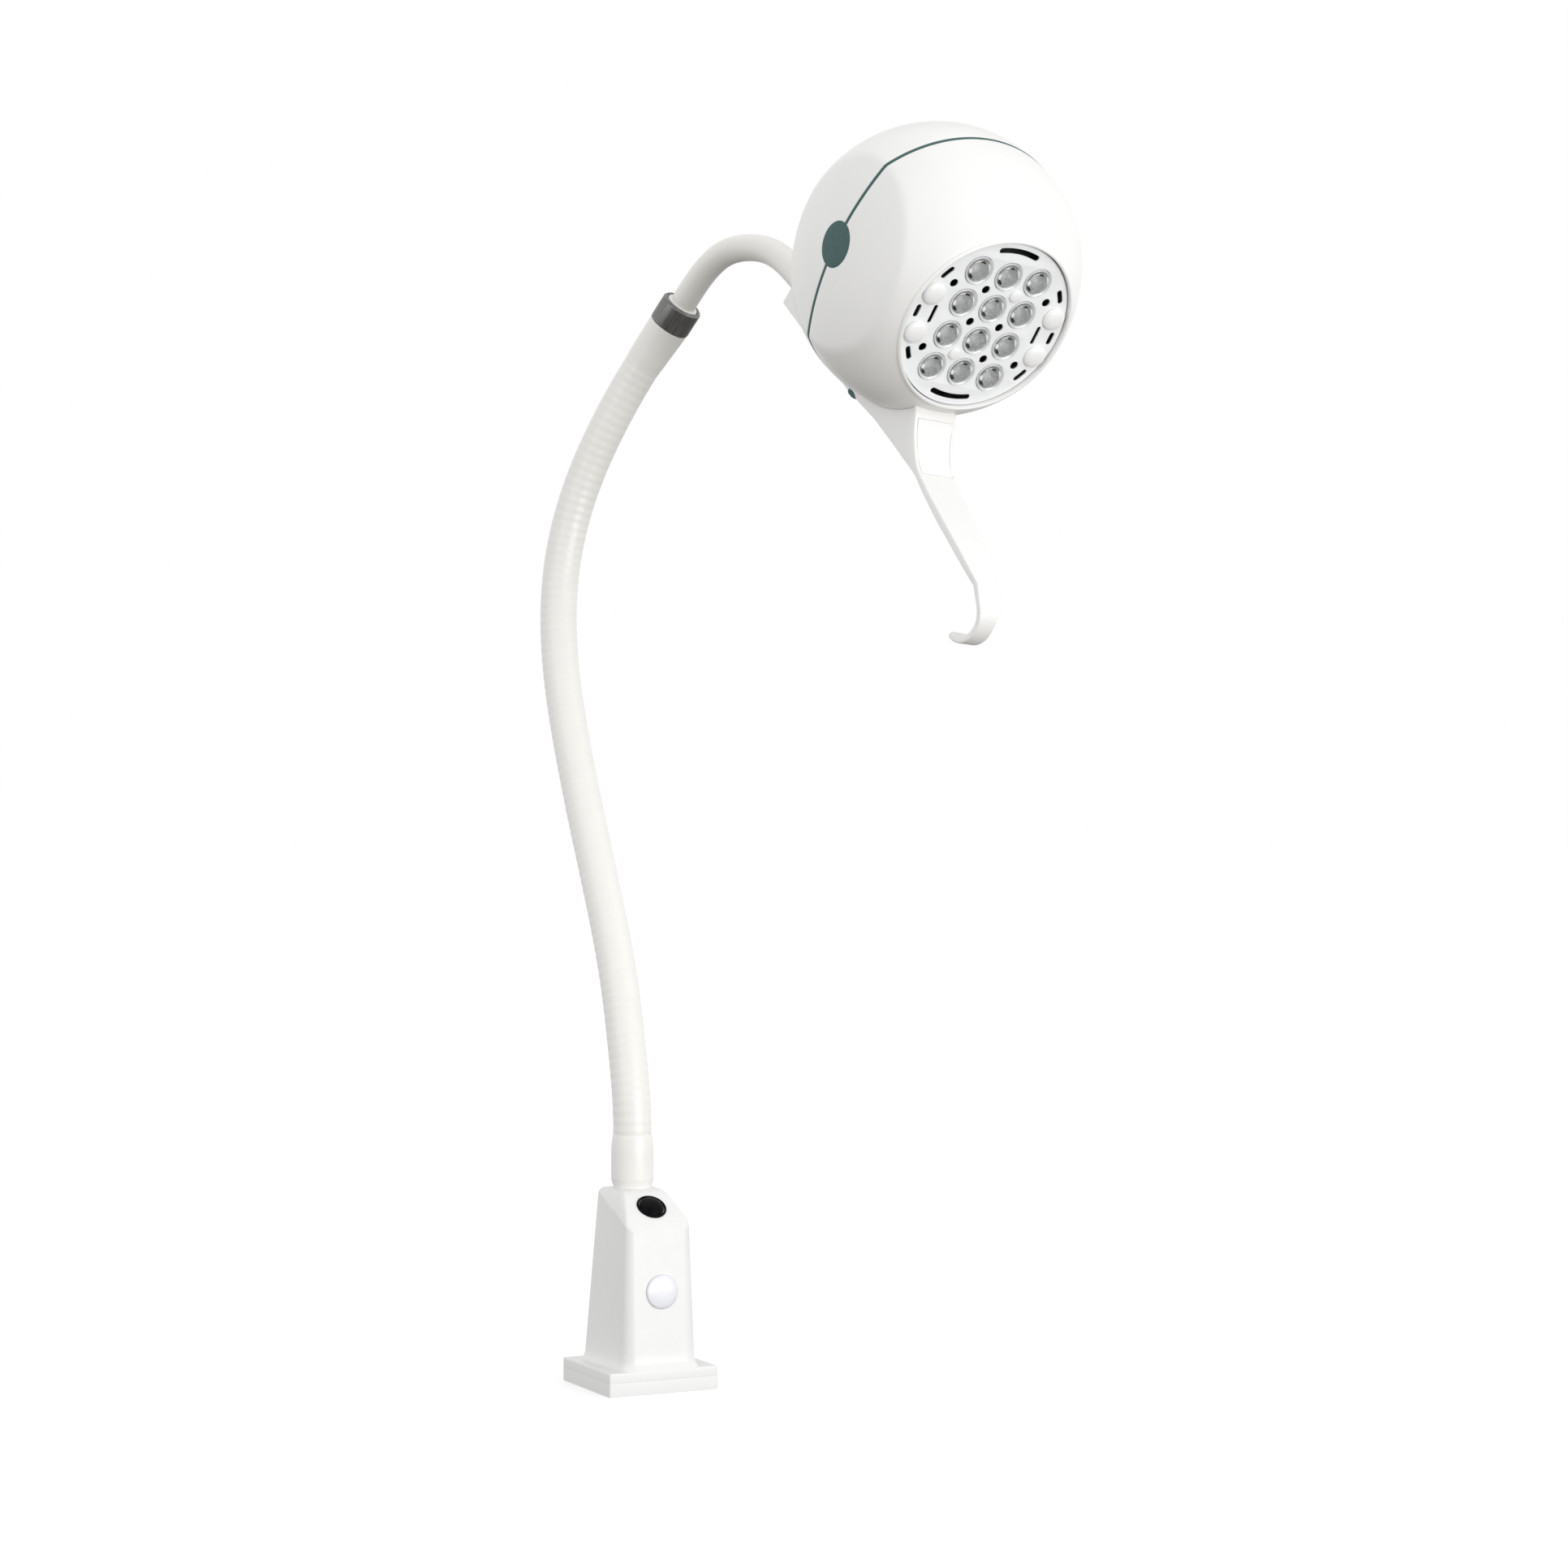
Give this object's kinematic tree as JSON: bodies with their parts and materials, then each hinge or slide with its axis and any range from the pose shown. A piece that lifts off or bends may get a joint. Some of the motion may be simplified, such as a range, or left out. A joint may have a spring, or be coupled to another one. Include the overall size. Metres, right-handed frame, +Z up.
{
  "type": "examination lamp",
  "caption": "Examination lamp: a foot plate and pedestal with a push button, a long gooseneck arm, a steel collar and a round LED head with a hooked handle.",
  "frame": {"origin": "centre of the foot plate's underside", "axes": "+Z up; -Y the pedestal's front face, with the badge; +X the pedestal's right"},
  "size_m": [0.2431, 0.4505, 0.8289],
  "materials": {
    "base_paint": "white satin powder coat",
    "shell_white": "white satin moulded plastic",
    "sheath_white": "warm white flexible PVC sheath",
    "gasket_green": "dark green elastomer",
    "collar_steel": "dark brushed steel",
    "inner_steel": "plain steel",
    "plate_silver": "silver-white satin plastic",
    "lens_clear": "clear moulded acrylic",
    "badge_clear": "clear domed resin over plain white",
    "heat_sink_metal": "plain extruded aluminium",
    "board_green": "green circuit board",
    "switch_black": "black gloss plastic",
    "inner_black": "black moulded plastic"
  },
  "bodies": {
    "root": {"mounting_plate": "base_paint", "foot_cover": "base_paint", "pedestal_housing": "base_paint", "arm_socket": "inner_steel", "root_sleeve": "sheath_white", "switch_body": "switch_black", "badge_disc": "badge_clear", "driver_module": "inner_black", "cable_gland": "inner_black", "lower_sheath_1": "sheath_white", "lower_core_1": "inner_steel"},
    "button": {"switch_button": "switch_black"},
    "lower_arm_2": {"lower_sheath_2": "sheath_white", "lower_core_2": "inner_steel"},
    "lower_arm_3": {"lower_sheath_3": "sheath_white", "lower_core_3": "inner_steel"},
    "lower_arm_4": {"lower_sheath_4": "sheath_white", "lower_core_4": "inner_steel"},
    "lower_arm_5": {"lower_sheath_5": "sheath_white", "lower_core_5": "inner_steel", "collar_sleeve": "sheath_white", "collar_ring": "collar_steel", "upper_sheath_1": "sheath_white", "upper_core_1": "inner_steel"},
    "upper_arm_2": {"upper_sheath_2": "sheath_white", "upper_core_2": "inner_steel"},
    "upper_arm_3": {"upper_sheath_3": "sheath_white", "upper_core_3": "inner_steel"},
    "head": {"clamp_screw": "inner_steel", "cover_dome_1": "shell_white", "cover_dome_2": "shell_white", "cover_dome_3": "shell_white", "cover_dome_4": "shell_white", "face_plate": "plate_silver", "front_shell": "shell_white", "handle_panel": "shell_white", "head_bracket": "shell_white", "heat_sink": "heat_sink_metal", "led_board": "board_green", "lens_1": "lens_clear", "lens_10": "lens_clear", "lens_11": "lens_clear", "lens_12": "lens_clear", "lens_2": "lens_clear", "lens_3": "lens_clear", "lens_4": "lens_clear", "lens_5": "lens_clear", "lens_6": "lens_clear", "lens_7": "lens_clear", "lens_8": "lens_clear", "lens_9": "lens_clear", "rear_shell": "shell_white", "screw_dome_1": "shell_white", "screw_dome_2": "shell_white", "seal_ring": "gasket_green", "side_cap_left": "gasket_green", "side_cap_right": "gasket_green", "upper_core_4": "inner_steel", "upper_sheath_4": "sheath_white"}
  },
  "joints": [
    {"name": "lower_bend_1", "type": "hinge", "parent": "root", "child": "lower_arm_2", "pos_m": [0, 0.01576, 0.19979], "axis": [1, 0, 0], "range_deg": [-20, 20]},
    {"name": "lower_bend_2", "type": "hinge", "parent": "lower_arm_2", "child": "lower_arm_3", "pos_m": [0.00002, 0.06581, 0.3351], "axis": [0.0001, 0.8751, -0.4839], "range_deg": [-20, 20]},
    {"name": "lower_bend_3", "type": "hinge", "parent": "lower_arm_3", "child": "lower_arm_4", "pos_m": [0.00101, 0.13203, 0.46391], "axis": [1, -0.0011, -0.0008], "range_deg": [-20, 20]},
    {"name": "lower_bend_4", "type": "hinge", "parent": "lower_arm_4", "child": "lower_arm_5", "pos_m": [0.01467, 0.14501, 0.6053], "axis": [0.0547, 0.98, 0.1914], "range_deg": [-20, 20]},
    {"name": "upper_bend_1", "type": "hinge", "parent": "lower_arm_5", "child": "upper_arm_2", "pos_m": [0.07284, 0.06429, 0.75804], "axis": [0.9854, 0.1438, -0.0906], "range_deg": [-25, 20]},
    {"name": "upper_bend_2", "type": "hinge", "parent": "upper_arm_2", "child": "upper_arm_3", "pos_m": [0.08366, 0.02873, 0.77612], "axis": [0.3807, 0.2237, 0.8972], "range_deg": [-25, 25]},
    {"name": "upper_bend_3", "type": "hinge", "parent": "upper_arm_3", "child": "head", "pos_m": [0.09429, -0.01099, 0.76993], "axis": [0.9854, 0.1438, -0.0906], "range_deg": [-25, 20]},
    {"name": "button_press", "type": "slide", "parent": "root", "child": "button", "axis": [0, 0.6157, -0.788], "range_m": [0, 0.002], "stiffness_N_per_m": 900}
  ]
}
